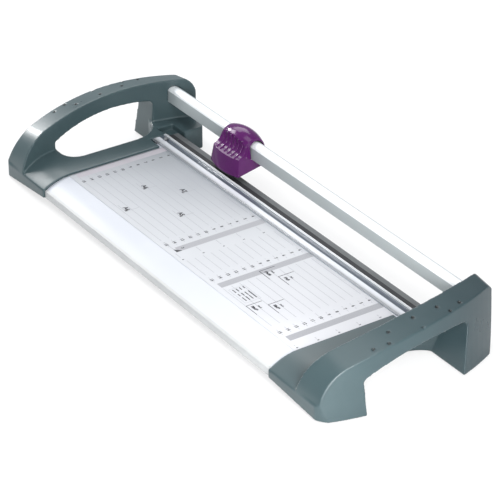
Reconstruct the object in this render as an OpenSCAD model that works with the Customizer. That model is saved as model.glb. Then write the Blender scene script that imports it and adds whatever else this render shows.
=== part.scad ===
// Paper cutter with a rotary blade in a head that slides along a rail over a ruled table.
// Own frame: x runs along the cut, y = 0 is the zero of the rulers, z = 0 is the top of the
// table. at_origin() then sets the bottom centre of the whole machine on the origin.

/* [Table] */
// Length of the table between the two end caps
board_len = 438.5; // [380:0.5:640]
// Distance from the zero of the rulers to where the table starts to roll over
flat_depth = 153; // [150:1:200]
// Depth of the rolled front
roll_run = 34.5; // [24:0.5:44]
// Drop of the rolled front
roll_drop = 10; // [6:0.5:12]
// Thickness of the table panel
board_t = 3; // [2.4:0.1:4]
// Height of the front face of the table
lip_h = 8.5; // [6:0.5:10]
// Width of the edging on the front face
lip_t = 2.4; // [1.6:0.1:3]
// Height of the top of the table over the underside of the end caps
table_h = 25; // [23:0.5:34]
// Thickness of the printed sheet
sheet_t = 0.2; // [0.1:0.05:0.4]
// Distance from the zero of the rulers to the front edge of the printed sheet
sheet_front = 157; // [140:1:175]

/* [Base channel] */
// Distance from the zero of the rulers to the line of the cut
cut_back = 10.3; // [9.8:0.1:11]
// Depth of the base channel, front to rear
channel_w = 25.4; // [24:0.2:30]
// Height of the base channel
channel_h = 22; // [20:0.5:22.5]
// Wall of the base channel
channel_t = 2; // [1.5:0.1:2.6]
// Width of the cutting mat
mat_w = 8.8; // [6:0.2:10]
// Thickness of the cutting mat
mat_t = 1.2; // [0.8:0.1:1.6]

/* [Clamp strip] */
// Width of the clear strip
strip_w = 17.8; // [16:0.2:19]
// Thickness of the clear strip
strip_t = 2; // [1.5:0.1:2.4]
// Gap for the paper under the strip at rest
paper_gap = 1; // [0.8:0.1:1.2]
// Travel of the strip when it is pressed
strip_travel = 0.7; // [0.4:0.1:0.7]
// Height of the bar along the rear edge of the strip
bar_h = 1.6; // [1:0.1:2.2]
// Width of that bar
bar_w = 2.9; // [2:0.1:3]
// Width of the rubber grip under the strip
grip_w = 5.6; // [4:0.2:7]
// Thickness of the rubber grip
grip_t = 0.5; // [0.4:0.1:0.6]

/* [End caps] */
// Reach of an end cap past the table at the floor
cap_reach = 106; // [102:0.5:118]
// Plan radius of the outer wall at the floor
outer_r = 262; // [240:1:320]
// Breadth of the handle at the floor, from its inner wall to the reach of the cap
handle_w = 42.7; // [40:0.1:44]
// Plan radius of the inner wall
inner_r = 339.5; // [320:1:400]
// Height of the crown of the handle over the table
crown_h = 50.8; // [50:0.2:58]
// Radius of the crown, seen from the side
crown_r = 405; // [380:1:600]
// Radius of the front of the handle, seen from the side
brow_r = 56; // [54:0.5:60]
// Wall of the end caps
cap_t = 2.5; // [2:0.1:3]
// Rise of the deck over the table
deck_rise = 2.5; // [2.3:0.1:3]
// Height of the hand hole over the table
hole_h = 30; // [26:0.5:31]
// Distance of the rear of the caps behind the zero of the rulers
cap_rear = 38; // [37:0.5:44]
// Height of the rubber feet under the caps
foot_proud = 1.2; // [0.8:0.1:2]
// Diameter of the rubber feet
foot_d = 14; // [10:0.5:16]

/* [Rail] */
// Width of the rail
rail_w = 13.8; // [13:0.1:14.4]
// Height of the flat front face of the rail
rail_face = 14.1; // [13:0.1:14.4]
// Distance of the front face of the rail behind the zero of the rulers
rail_y = 6.5; // [6.3:0.1:7]
// Height of the underside of the rail over the table
rail_z = 24.5; // [24:0.1:25]
// Wall of the rail
rail_t = 1.7; // [1.3:0.1:2.2]

/* [Cutter head] */
// Length of the head along the rail, at its underside
head_len = 57.4; // [57:0.2:62]
// Distance of the head from the middle of the table, to the left
head_left = 124.45; // [0:0.05:200]
// Wall of the head
head_t = 2.2; // [1.8:0.1:2.2]
// Radius of the dome over the rail
dome_r = 18; // [18:0.1:20]
// Distance of the front face of the head in front of the cut, at its foot
head_front = 7.7; // [7.6:0.1:8.5]
// Height of the underside of the head over the table at the front
head_z = 7.8; // [7.4:0.1:9]
// Radius of the thumb scoop
scoop_r = 14.6; // [14:0.1:15]
// Travel of the head when it is pressed
press_travel = 1.2; // [1:0.1:1.6]
// Diameter of the blade
blade_d = 23; // [20:0.5:23]
// Thickness of the blade
blade_t = 0.6; // [0.4:0.1:0.6]
// Number of ribs in the thumb scoop
rib_n = 6; // [4:1:8]

/* [Hidden] */

// Overrun of cuts, running play and face clearances
over = 5;
play = 0.05;
fit = 0.1;
clear = 0.3;

// Colours
cap_colour = "#4f6467";
board_colour = "#f2f3f6";
edging_colour = "#cfcfc9";
rail_colour = "#c4c8c9";
channel_colour = "#56585d";
mat_colour = "#1b1b1e";
head_colour = "#5a2260";
steel_colour = "#a8acb0";
black_colour = "#1e1f21";
clear_colour = "#dfe7ee";

// Places along y of the table and the base channel
board_front = flat_depth + roll_run;
roll_r = (roll_run * roll_run + roll_drop * roll_drop) / (2 * roll_drop);
cap_front = board_front + cap_t + fit;
cut_y = -cut_back;
channel_share = 0.638;
channel_front = cut_y - channel_share * channel_w;
channel_rear = channel_front + channel_w;
mat_share = 0.7;
mat_front = cut_y - mat_share * mat_w;
board_rear = channel_front - fit;
ledge_w = 6.5;
ledge_t = 4;
channel_top_t = 9;
channel_thin = 3.5;
end_depth = 20;
tongue = 10;
sheet_under = 5;

// Clamp strip
strip_gap = 1.7;
strip_rear = mat_front - strip_gap;
strip_front = strip_rear - strip_w;
strip_z = paper_gap;
strip_end_gap = 1;
strip_over = end_depth - strip_end_gap;
grip_gap = 2.2;
grip_y = strip_rear - bar_w - grip_w - grip_gap;
clamp_pin_d = 3;
clamp_pin_in = 9;
clamp_pin_back = 2.6;
clamp_pin_y = channel_front + clamp_pin_back;
clamp_pin_sunk = 7;
clamp_head_d = 5.2;
clamp_head_t = 1.3;
clamp_spring_d = 5;
clamp_spring_wire = 0.6;
clamp_spring_in = 15;
clamp_spring_back = 4.2;
clamp_spring_y = channel_front + clamp_spring_back;
clamp_spring_sunk = 7;
clamp_spring_turns = 5;

// End caps, where u is the offset past the end of the table
lean = 0.198;
lean_back = 8.96;
handle_in = cap_reach - handle_w;
outer_share = 0.446;
outer_y = -outer_share * board_front;
inner_share = 0.445;
inner_y = -inner_share * board_front;
corner_r = 31;
corner_out = 3.7;
corner_u = handle_in + corner_out;
corner_cut = 2.2;
corner_y = corner_r - cap_front - corner_cut;
crown_tilt = 8.8;
crown_y = -25;
brow_fore = 1.2;
brow_y = brow_r - cap_front - brow_fore;
brow_lift = 0.12;
brow_z = brow_lift + crown_h - crown_r + sqrt(pow(crown_r - brow_r, 2) - pow(brow_y - crown_y, 2));
brow_end = crown_y + (brow_y - crown_y) * crown_r / (crown_r - brow_r);
rear_r = 50.7;
rear_in = 19.3;
rear_u = handle_in - rear_in;
nape_r = 24;
side_step = 13.5;
notch_rear = 3.5;
notch_gap = 2;
notch_front = strip_front - notch_gap;
notch_u = end_depth + strip_end_gap;
runout_u = 39;
runout_fore = 6.7;
runout_front = cut_y - runout_fore;
runout_z = -5;
hole_arc_r = 222;
hole_arc_y = -48;
hole_arc_rise = 1.3;
hole_in = 30;
hole_rear_y = -14;
hole_front_y = -138.5;
hole_end_y = -143.5;
hole_rear_r = 36.5;
hole_front_r = 18.5;
hole_end_r = 9;
hole_nape_y = -12;
hole_nape_r = 6;
hole_lean_right = 0.225;
hole_lean_left = 0.06;
handle_wall = 1.3;
handle_u = handle_in - handle_wall;
tunnel_in = 14;
tunnel_u = hole_in + tunnel_in;
foot_slope = 7;
foot_slope_share = 0.77;
boss_d = foot_d + 2 * cap_t;
foot_sunk = 1.5;
dimple_d = 3.6;
dimple_deep = 0.8;

// Stiffeners under the table
stiff_w = 18;
stiff_h = 11;
stiff_t = 1.5;
stiff_shares = [0.86, 0.45];
stiff_front_y = -stiff_shares[0] * flat_depth;
stiff_rear_y = -stiff_shares[1] * flat_depth;
stiff_over = 22;
pad_d = 9;
pad_in = 16;
pad_bore = 1;
pad_bite = 0.6;

// Screws
screw_d = 3;
screw_head_d = 5.6;
screw_head_t = 2;
screw_ease = 0.4;
screw_hole_d = screw_d + screw_ease;
rail_screw_len = 16;

// Rail and end brackets
rail_round_share = 0.544;
rail_r = rail_round_share * rail_w;
rail_cy = rail_y + rail_w / 2;
rail_cz = rail_z + rail_face - sqrt(rail_r * rail_r - rail_w * rail_w / 4);
rail_top = rail_cz + rail_r;
port_rise = 8.5;
port_z = rail_z + port_rise;
port_wall = 1.7;
rail_seat_u = handle_in - handle_wall;
bracket_in = 8.3;
bracket_u = handle_in - bracket_in;
bracket_t = 12;
bracket_wall = 2.3;
bracket_y = rail_y - bracket_wall;
bracket_w = rail_w + 2 * bracket_wall;
bracket_over = 1.3;
bracket_top = rail_top + bracket_over;
bracket_lift = 1;
bracket_foot = -table_h + bracket_lift;
arm_w = 7.5;
arm_y = channel_rear - channel_t - clear - arm_w;
arm_rise = 4;
arm_z = -channel_h + arm_rise;
arm_h = 10;
arm_roof = 2;
arm_bite = 7.5;
arm_in = 15;
arm_screw_in = 6;

// Cutter head
head_x = -head_left;
head_y = cut_y - head_front;
face_r = 90;
face_lean = 0.164;
end_lean = 0.14;
dome_back = 2.5;
dome_drop = 4.5;
dome_y = rail_cy - dome_back;
dome_z = rail_z + rail_face - dome_drop;
dome_crown_r = 64;
dome_len = 56;
head_rear = dome_y + dome_r;
foot_rise = 0.187;
scoop_back = 2.4;
scoop_y = head_y + scoop_back;
scoop_rise = 34.5;
scoop_z = head_z + scoop_rise;
rib_w = 1.7;
rib_h = 1.1;
rib_margin_share = 1.1;
rib_pitch = head_len / (rib_n + 2 * rib_margin_share);
rib_low = scoop_z - scoop_r - rib_h;
rail_gap = press_travel + clear + fit;
liner_gap = 0.25;
liner_t = 0.8;
carriage_t = 0.9;
carriage_share = 0.46;
carriage_len = carriage_share * head_len;
lug_len = 35;
lug_z = 12;
lug_h = 5;
lug_back = 3;
lug_front = cut_y + lug_back;
guide_d = 3;
guide_x = 13;
guide_back = 6.3;
guide_y = cut_y + guide_back;
guide_under = 2;
guide_low = lug_z - guide_under;
guide_drop = 14.8;
guide_seat = scoop_z - guide_drop;
guide_bite = 3.3;
guide_top = guide_seat + guide_bite;
guide_boss_d = 6;
head_spring_d = 5.6;
head_spring_wire = 0.7;
head_spring_turns = 5;

// Blade and what holds it
blade_clear = 0.3;
blade_r = blade_d / 2;
blade_z = blade_r + press_travel + blade_clear;
blade_front = cut_y - blade_t / 2;
axle_d = 4;
axle_head_d = 7;
axle_head_t = 0.45;
blade_gap = 0.2;
grind_share = 2.5;
holder_front = blade_front + blade_t + blade_gap;
holder_t = 2;
holder_len = 45;
holder_under = 4;
holder_low = blade_z - holder_under;
holder_drop = 16.2;
holder_top = scoop_z - holder_drop;
holder_skirt_len = 26;
skirt_lift = 2.4;
holder_skirt_z = press_travel + skirt_lift;
holder_screw_x = 20;
holder_screw_drop = 2.6;
holder_screw_z = holder_top - holder_screw_drop;
holder_screw_d = 2.4;
holder_screw_head_d = 4.4;
holder_screw_head_t = 1.4;
holder_screw_bite = 1.7;
holder_bore = 2;
holder_boss_d = 6;
guard_len = 34;
guard_gap = 0.9;
guard_rear = blade_front - guard_gap;
guard_lift = 1.4;
guard_z = press_travel + guard_lift;
guard_over = 2.5;
guard_top = blade_z + guard_over;

// The machine on the origin: middle of its length and depth, floor at zero
middle_y = (cap_front - cap_rear) / 2;
floor_z = table_h + foot_proud;
half = board_len / 2;

module at_origin() {
    translate([0, middle_y, floor_z])
        children();
}

// A shape drawn in y and z, drawn out along x from x0 to x1
module along_x(x0, x1) {
    translate([x0, 0, 0])
        rotate([90, 0, 90])
            linear_extrude(height = x1 - x0, convexity = 6)
                children();
}

// One end of the machine: side 1 is the right end, side -1 its mirror image
module at_end(side) {
    if (side > 0)
        translate([half, 0, 0])
            children();
    else
        mirror([1, 0, 0])
            translate([half, 0, 0])
                children();
}

module box(low, high) {
    translate(low)
        cube(high - low);
}

// Section of the table's top face and roll, grown outwards by g, down to the depth z_low
module top_section(g, z_low, y_front, y_rear) {
    intersection() {
        translate([-y_front, z_low])
            square([y_front + y_rear, g - z_low]);
        union() {
            translate([-flat_depth, z_low])
                square([flat_depth + y_rear, g - z_low]);
            translate([-flat_depth, -roll_r])
                circle(r = roll_r + g, $fn = 240);
        }
    }
}

// Panel with its rolled front; it is a shell of even thickness, and reaches under both decks
module base_board() {
    color(board_colour)
        at_origin()
            along_x(-half - tongue, half + tongue)
                difference() {
                    top_section(0, -roll_drop - lip_h, board_front - lip_t, board_rear);
                    top_section(-board_t, -roll_drop - lip_h - over, board_front - lip_t - board_t, over + board_rear);
                }
}

// Edging on the front face of the panel
module front_edging() {
    color(edging_colour)
        at_origin()
            along_x(-half - tongue, half + tongue)
                difference() {
                    top_section(0, -roll_drop - lip_h, board_front, board_rear);
                    translate([-(board_front - lip_t), -2 * (roll_drop + lip_h)])
                        square([board_front * 2, 3 * (roll_drop + lip_h)]);
                }
}

module scale_sheet() {
    color("#e9edf3")
        at_origin()
            box([-half + fit, -sheet_front, 0], [half - fit, strip_front + sheet_under, sheet_t]);
}

// Steel channel under the panel, open downwards, with a hole over each end for its screw
module stiffener(y) {
    color(steel_colour)
        at_origin()
            difference() {
                box([-half - stiff_over, y - stiff_w / 2, -board_t - stiff_h],
                    [half + stiff_over, y + stiff_w / 2, -board_t]);
                box([-half - stiff_over - over, y - stiff_w / 2 + stiff_t, -board_t - stiff_h - over],
                    [half + stiff_over + over, y + stiff_w / 2 - stiff_t, -board_t - stiff_t]);
                for (side = [-1, 1])
                    translate([side * (half + pad_in), y, -board_t - over])
                        cylinder(d = screw_hole_d, h = 2 * over, $fn = 32);
            }
}

module stiffener_front() {
    stiffener(stiff_front_y);
}

module stiffener_rear() {
    stiffener(stiff_rear_y);
}

// Base channel behind the panel: thick top in front for the pins, groove for the mat, hollow below
module rear_channel() {
    color(channel_colour)
        at_origin()
            difference() {
                along_x(-half - end_depth, half + end_depth)
                    difference() {
                        union() {
                            translate([channel_front, -channel_h])
                                square([channel_w, channel_h]);
                            translate([channel_front - ledge_w, -board_t - ledge_t])
                                square([ledge_w + channel_t, ledge_t]);
                        }
                        translate([channel_front + channel_t, -channel_h + channel_t])
                            square([channel_w - 2 * channel_t, channel_h - channel_t - channel_top_t]);
                        translate([mat_front, -channel_h + channel_t])
                            square([channel_rear - channel_t - mat_front, channel_h - channel_t - channel_thin]);
                        translate([mat_front, -mat_t])
                            square([mat_w, mat_t + over]);
                    }
                for (side = [-1, 1]) {
                    translate([side * (half + clamp_pin_in), clamp_pin_y, -clamp_pin_sunk])
                        cylinder(d = clamp_pin_d, h = clamp_pin_sunk + over, $fn = 32);
                    translate([side * (half + clamp_spring_in), clamp_spring_y, -clamp_spring_sunk])
                        cylinder(d = clamp_spring_d + 2 * clear, h = clamp_spring_sunk + over, $fn = 32);
                    translate([side * (half - arm_screw_in), arm_y + arm_w / 2, -channel_h - over])
                        cylinder(d = screw_hole_d, h = channel_t + 2 * over, $fn = 32);
                }
            }
}

module cutting_mat() {
    color(mat_colour)
        at_origin()
            box([-half - end_depth, mat_front, -mat_t], [half + end_depth, mat_front + mat_w, 0]);
}

// Outer wall of a cap: a wide round that leans inwards and backwards as it rises, drawn in by g
module outer_wall(g) {
    down = table_h + 4 * over;
    up = 2 * table_h + crown_h;
    translate([cap_reach - outer_r, outer_y, -table_h])
        rotate([-lean_back, 0, 0])
            translate([0, 0, -down])
                cylinder(r1 = outer_r - g + lean * down, r2 = outer_r - g - lean * up, h = up + down, $fn = 480);
}

// Plan outline of the cap without its inner sides, drawn in by g
module outline(g) {
    z_low = -table_h - 2 * over;
    high = 3 * table_h + 2 * crown_h;
    intersection() {
        outer_wall(g);
        union() {
            translate([rear_u, cap_rear - rear_r, z_low])
                cylinder(r = rear_r - g, h = high, $fn = 240);
            box([-2 * over, -cap_front - over, z_low], [cap_reach + over, cap_rear - rear_r, z_low + high]);
        }
        union() {
            translate([corner_u, corner_y, z_low])
                cylinder(r = corner_r - g, h = high, $fn = 160);
            box([-2 * over, -cap_front - over, z_low], [corner_u, cap_rear + over, z_low + high]);
            box([-2 * over, corner_y, z_low], [cap_reach + over, cap_rear + over, z_low + high]);
        }
        box([-2 * over, -cap_front + g, g > 0 ? z_low : -table_h], [cap_reach + over, cap_rear - g, z_low + high]);
    }
}

// Side section of the handle in y and z, drawn in by g
module handle_section(g) {
    z_low = -table_h - 3 * over;
    intersection() {
        translate([crown_y, crown_h - crown_r])
            circle(r = crown_r - g, $fn = 480);
        union() {
            translate([brow_y, brow_z])
                circle(r = brow_r - g, $fn = 240);
            translate([-cap_front + g, z_low])
                square([cap_front + cap_rear, brow_z - z_low]);
            translate([brow_end, z_low])
                square([cap_rear - nape_r - brow_end, 2 * crown_h - z_low]);
            translate([brow_end, z_low])
                square([cap_rear - g - brow_end, crown_h - nape_r - z_low]);
            translate([cap_rear - nape_r, crown_h - nape_r])
                circle(r = nape_r - g, $fn = 120);
        }
    }
}

// Handle: over the upright inner wall, under the crown
module handle_block(g) {
    difference() {
        intersection() {
            outline(g);
            translate([handle_in, 0, 0])
                rotate([0, crown_tilt, 0])
                    along_x(-cap_reach, cap_reach)
                        handle_section(g);
        }
        translate([handle_in - inner_r, inner_y, -table_h - 3 * over])
            cylinder(r = inner_r + g, h = 3 * table_h + 2 * crown_h, $fn = 480);
    }
}

// Deck: level behind, rolled in front like the table, stepped in behind the base channel
module deck_block(g) {
    z_low = -table_h - over;
    difference() {
        intersection() {
            outline(g);
            along_x(g > 0 ? -over : 0, cap_reach)
                top_section(g > 0 ? fit : deck_rise, z_low, cap_front, cap_rear);
        }
        box([-3 * over, notch_rear - g, z_low - over], [side_step + g, cap_rear + over, crown_h]);
    }
}

// Side view of the hand hole in y and z: an arch with rounded ends, grown by g
module hole_section(g, slope) {
    z_low = -table_h - 2 * over;
    arc_z = hole_h - hole_arc_r + hole_arc_rise;
    end_y = hole_end_y + hole_end_r;
    end_z = arc_z + sqrt(pow(hole_arc_r - hole_end_r, 2) - pow(end_y - hole_arc_y, 2));
    nape_y = hole_nape_y - hole_nape_r;
    nape_z = arc_z + sqrt(pow(hole_arc_r - hole_nape_r, 2) - pow(nape_y - hole_arc_y, 2));
    intersection() {
        translate([hole_arc_y, arc_z])
            circle(r = hole_arc_r + g, $fn = 480);
        union() {
            translate([end_y, end_z])
                circle(r = hole_end_r + g, $fn = 96);
            translate([nape_y, nape_z])
                circle(r = hole_nape_r + g, $fn = 96);
            translate([end_y, nape_z])
                square([nape_y - end_y, 2 * crown_h - nape_z]);
            translate([hole_end_y - g, z_low])
                square([end_y - hole_end_y + g, end_z - z_low]);
            polygon([
                [end_y, z_low],
                [end_y, nape_z],
                [hole_nape_y + g, nape_z],
                [hole_nape_y + g - slope * (nape_z - z_low), z_low]
            ]);
        }
    }
}

// Plan of the way through the handle between two offsets u, its front slanting forwards
module tunnel_plan(u_from, u_to, g) {
    slant = (hole_end_y - hole_front_y) / (cap_reach - hole_in - hole_front_r);
    front_y = hole_front_y - g - slant * (hole_in + hole_front_r);
    polygon([
        [u_from, over],
        [u_from, front_y + slant * u_from],
        [u_to, front_y + slant * u_to],
        [u_to, over]
    ]);
}

// Hand hole: a round-cornered opening in the deck and an arch through the handle, grown by g
module hand_hole(g, slope) {
    z_low = -table_h - 2 * over;
    intersection() {
        along_x(0, cap_reach + over)
            hole_section(g, slope);
        union() {
            translate([0, 0, z_low])
                linear_extrude(height = table_h + crown_h)
                    union() {
                        translate([hole_in + hole_rear_r, hole_rear_y - hole_rear_r])
                            circle(r = hole_rear_r + g, $fn = 160);
                        translate([hole_in + hole_front_r, hole_front_y + hole_front_r])
                            circle(r = hole_front_r + g, $fn = 96);
                        polygon([
                            [hole_in - g, hole_front_y + hole_front_r],
                            [hole_in - g, hole_rear_y - hole_rear_r],
                            [hole_in + hole_rear_r, hole_rear_y + g],
                            [hole_in + hole_rear_r, hole_front_y - g],
                            [hole_in + hole_front_r, hole_front_y - g]
                        ]);
                        tunnel_plan(handle_u - g, cap_reach + over, g);
                    }
            translate([0, 0, deck_rise - g])
                linear_extrude(height = crown_h)
                    tunnel_plan(tunnel_u - g, handle_u + over, g);
        }
    }
}

// Opening for the ends of the base channel and strip, and the shallow pocket for the blade
module end_notch(g) {
    box([-over, notch_front - g, -table_h - 2 * over], [notch_u + g, notch_rear + g, crown_h]);
    box([-over, runout_front - g, runout_z - g], [runout_u + g, notch_rear + g, crown_h]);
}

// Way for the edge of the table through the front wall of that opening
module table_slot() {
    box([-over, notch_front - cap_t - clear, -board_t - fit], [tongue + clear, notch_front + over, fit]);
}

// Places of the feet as shares of the reach and depth of a cap
foot_shares = [[0.79, -0.885], [0.74, 0.02], [0.27, 0.062]];
foot_places = [for (s = foot_shares) [s[0] * cap_reach, s[1] * cap_front]];

// Places of the dimples on the handle, as shares of its reach and depth
dimple_shares = [[0.791, -0.66], [0.827, -0.578], [0.711, -0.535], [0.693, -0.374],
    [0.853, -0.374], [0.695, -0.221], [0.802, -0.18], [0.74, -0.094]];

module end_cap(side) {
    color(cap_colour)
        at_origin()
            at_end(side)
                difference() {
                    union() {
                        handle_block(0);
                        deck_block(0);
                    }
                    difference() {
                        union() {
                            handle_block(cap_t);
                            deck_block(cap_t);
                        }
                        hand_hole(cap_t, side > 0 ? hole_lean_right : hole_lean_left);
                        end_notch(cap_t);
                        for (p = foot_places)
                            translate([p[0], p[1], -table_h])
                                cylinder(d = boss_d, h = table_h + crown_h, $fn = 48);
                        for (y = [stiff_front_y, stiff_rear_y])
                            translate([pad_in, y, -board_t])
                                cylinder(d = pad_d, h = board_t + deck_rise, $fn = 32);
                    }
                    hand_hole(0, side > 0 ? hole_lean_right : hole_lean_left);
                    end_notch(0);
                    table_slot();
                    rail_hole();
                    bracket_hole();
                    foot_wedge();
                    for (p = foot_places)
                        translate([p[0], p[1], -table_h - over])
                            cylinder(d = foot_d, h = foot_sunk + over, $fn = 48);
                    for (y = [stiff_front_y, stiff_rear_y])
                        translate([pad_in, y, -board_t - over])
                            cylinder(d = screw_d, h = board_t + over + pad_bore, $fn = 32);
                    for (s = dimple_shares)
                        dimple(s[0] * cap_reach, s[1] * cap_front);
                }
}

// Height of the top of the handle at an offset u and a depth y
function handle_z(u, y) = crown_h - (y - crown_y) * (y - crown_y) / (2 * crown_r)
    - (u - handle_in) * sin(crown_tilt);

module dimple(u, y) {
    translate([u, y, handle_z(u, y) - dimple_deep])
        rotate([0, crown_tilt, 0])
            cylinder(d = dimple_d, h = dimple_deep + over, $fn = 24);
}

// Underside of the front foot, which rises towards the table
module foot_wedge() {
    translate([0, -board_front + 2 * over + roll_run, 0])
        rotate([90, 0, 0])
            linear_extrude(height = 2 * roll_run)
                polygon([
                    [-over, -table_h - over],
                    [-over, -table_h + foot_slope],
                    [0, -table_h + foot_slope],
                    [foot_slope_share * cap_reach, -table_h],
                    [foot_slope_share * cap_reach, -table_h - over]
                ]);
}

// Section of the rail grown by g
module rail_section(g) {
    translate([rail_y - g, rail_z - g])
        square([rail_w + 2 * g, rail_cz - rail_z + g]);
    intersection() {
        translate([rail_cy, rail_cz])
            circle(r = rail_r + g, $fn = 96);
        translate([rail_y - g, rail_z])
            square([rail_w + 2 * g, 2 * rail_face]);
    }
}

module rail_hole() {
    along_x(side_step, bracket_u - fit)
        rail_section(clear);
}

// Way through the wall of the notch for the arm of the bracket
module bracket_hole() {
    box([-over, arm_y - clear, arm_z - clear], [bracket_u, arm_y + arm_w + clear, arm_z + arm_h + clear]);
}

module end_cap_left() {
    end_cap(-1);
}

module end_cap_right() {
    end_cap(1);
}

// Bracket inside a cap: an arm into the base channel and a post that holds the end of the rail
module end_bracket(side) {
    color(black_colour)
        at_origin()
            at_end(side)
                difference() {
                    union() {
                        box([-arm_in, arm_y, arm_z], [bracket_u + bracket_t, arm_y + arm_w, arm_z + arm_h]);
                        box([bracket_u, arm_y, bracket_foot],
                            [bracket_u + bracket_t, bracket_y + bracket_w, arm_z + arm_h]);
                        box([bracket_u, bracket_y, bracket_foot],
                            [bracket_u + bracket_t, bracket_y + bracket_w, bracket_top]);
                    }
                    along_x(bracket_u - over, rail_seat_u)
                        rail_section(fit);
                    translate([rail_seat_u - over, rail_cy, port_z])
                        rotate([0, 90, 0])
                            cylinder(d = screw_hole_d, h = bracket_t + 2 * over, $fn = 32);
                    translate([-arm_screw_in, arm_y + arm_w / 2, arm_z - over])
                        cylinder(d = screw_d, h = over + arm_h - arm_roof, $fn = 32);
                }
}

module end_bracket_left() {
    end_bracket(-1);
}

module end_bracket_right() {
    end_bracket(1);
}

// Drawn aluminium rail: flat front, round top, hollow, with a screw port in a cross web
module guide_rail() {
    color(rail_colour)
        at_origin()
            along_x(-half - rail_seat_u, half + rail_seat_u)
                difference() {
                    rail_section(0);
                    difference() {
                        rail_section(-rail_t);
                        translate([rail_cy, port_z])
                            circle(d = screw_d + 2 * port_wall, $fn = 48);
                        translate([rail_y, port_z - rail_t / 2])
                            square([rail_w, rail_t]);
                    }
                    translate([rail_cy, port_z])
                        circle(d = screw_d, $fn = 48);
                }
}

// Pan head screw along +z, head below zero
module screw(d, head_d, head_t, length) {
    translate([0, 0, -head_t])
        cylinder(d = head_d, h = head_t, $fn = 32);
    translate([0, 0, -head_t / 2])
        cylinder(d = d - 2 * play, h = length + head_t / 2, $fn = 32);
}

module rail_screws() {
    color(steel_colour)
        at_origin()
            for (side = [-1, 1])
                at_end(side)
                    translate([bracket_u + bracket_t, rail_cy, port_z])
                        rotate([0, -90, 0])
                            screw(screw_d, screw_head_d, screw_head_t, rail_screw_len);
}

// Screws from below: stiffeners into the decks, base channel into the brackets
module frame_screws() {
    color(steel_colour)
        at_origin()
            for (side = [-1, 1])
                at_end(side) {
                    for (y = [stiff_front_y, stiff_rear_y])
                        translate([pad_in, y, -board_t - stiff_t])
                            screw(screw_d, screw_head_d, screw_head_t, stiff_t + board_t + pad_bite);
                    translate([-arm_screw_in, arm_y + arm_w / 2, -channel_h])
                        screw(screw_d, screw_head_d, screw_head_t, arm_rise + arm_bite);
                }
}

module rubber_feet() {
    color(mat_colour)
        at_origin()
            for (side = [-1, 1])
                at_end(side)
                    for (p = foot_places)
                        translate([p[0], p[1], -floor_z])
                            cylinder(d = foot_d - 2 * fit, h = foot_proud + foot_sunk, $fn = 48);
}

// Pins that guide the clear strip and hold it down
module clamp_pins() {
    color(steel_colour)
        at_origin()
            for (side = [-1, 1])
                at_end(side)
                    translate([clamp_pin_in, clamp_pin_y, -clamp_pin_sunk]) {
                        cylinder(d = clamp_pin_d, h = clamp_pin_sunk + strip_z + strip_t + clear + clamp_head_t / 2,
                            $fn = 32);
                        translate([0, 0, clamp_pin_sunk + strip_z + strip_t + clear])
                            cylinder(d = clamp_head_d, h = clamp_head_t, $fn = 32);
                    }
}

// Clear strip that presses the paper down along the cut, with a bar at its rear edge
module clamp_strip() {
    color(clear_colour)
        at_origin()
            difference() {
                union() {
                    box([-half - strip_over, strip_front, strip_z], [half + strip_over, strip_rear, strip_z + strip_t]);
                    box([-half - strip_over, strip_rear - bar_w, strip_z],
                        [half + strip_over, strip_rear, strip_z + strip_t + bar_h]);
                }
                for (side = [-1, 1])
                    at_end(side)
                        translate([clamp_pin_in, clamp_pin_y, strip_z - over])
                            cylinder(d = clamp_pin_d + 2 * play, h = strip_t + 2 * over, $fn = 32);
                box([-half + fit, grip_y, strip_z - over], [half - fit, grip_y + grip_w, strip_z + grip_t]);
            }
}

module clamp_grip() {
    color(black_colour)
        at_origin()
            box([-half + fit, grip_y, strip_z - fit], [half - fit, grip_y + grip_w, strip_z + grip_t]);
}

// Round wire spring standing on z = 0, as one closed tube of rings
function coil_point(r, wire, height, turns, a) =
    [r * cos(a), r * sin(a), wire / 2 + (height - wire) * a / (360 * turns)];

function coil_ring(r, wire, height, turns, a, sides) = [
    for (k = [0 : sides - 1])
        let (c = coil_point(r, wire, height, turns, a), b = 360 * k / sides)
            [c[0] + wire / 2 * cos(b) * cos(a), c[1] + wire / 2 * cos(b) * sin(a), c[2] + wire / 2 * sin(b)]
];

module coil(outer_d, wire, height, turns) {
    sides = 6;
    per_turn = 8;
    rings = turns * per_turn;
    r = (outer_d - wire) / 2;
    points = [
        for (i = [0 : rings])
            each coil_ring(r, wire, height, turns, 360 * turns * i / rings, sides)
    ];
    walls = [
        for (i = [0 : rings - 1], k = [0 : sides - 1])
            each let (a = i * sides + k, b = i * sides + (k + 1) % sides)
                [[a, b, b + sides], [a, b + sides, a + sides]]
    ];
    ends = [
        for (k = [1 : sides - 2])
            each [[0, k + 1, k], [rings * sides, rings * sides + k, rings * sides + k + 1]]
    ];
    least = min([
        for (i = [0 : rings - per_turn], j = [i + per_turn - 2 : min(rings, i + per_turn + 2)])
            norm(coil_point(r, wire, height, turns, 360 * i / per_turn)
                - coil_point(r, wire, height, turns, 360 * j / per_turn)) - wire
    ]);
    echo("least gap between the turns of a spring", least);
    polyhedron(points, concat(walls, ends), convexity = 8);
}

module clamp_spring(side) {
    color(steel_colour)
        at_origin()
            at_end(side)
                translate([clamp_spring_in, clamp_spring_y, -clamp_spring_sunk])
                    coil(clamp_spring_d, clamp_spring_wire, clamp_spring_sunk + strip_z, clamp_spring_turns);
}

module clamp_spring_left() {
    clamp_spring(-1);
}

module clamp_spring_right() {
    clamp_spring(1);
}

module at_head() {
    at_origin()
        translate([head_x, 0, 0])
            children();
}

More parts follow.
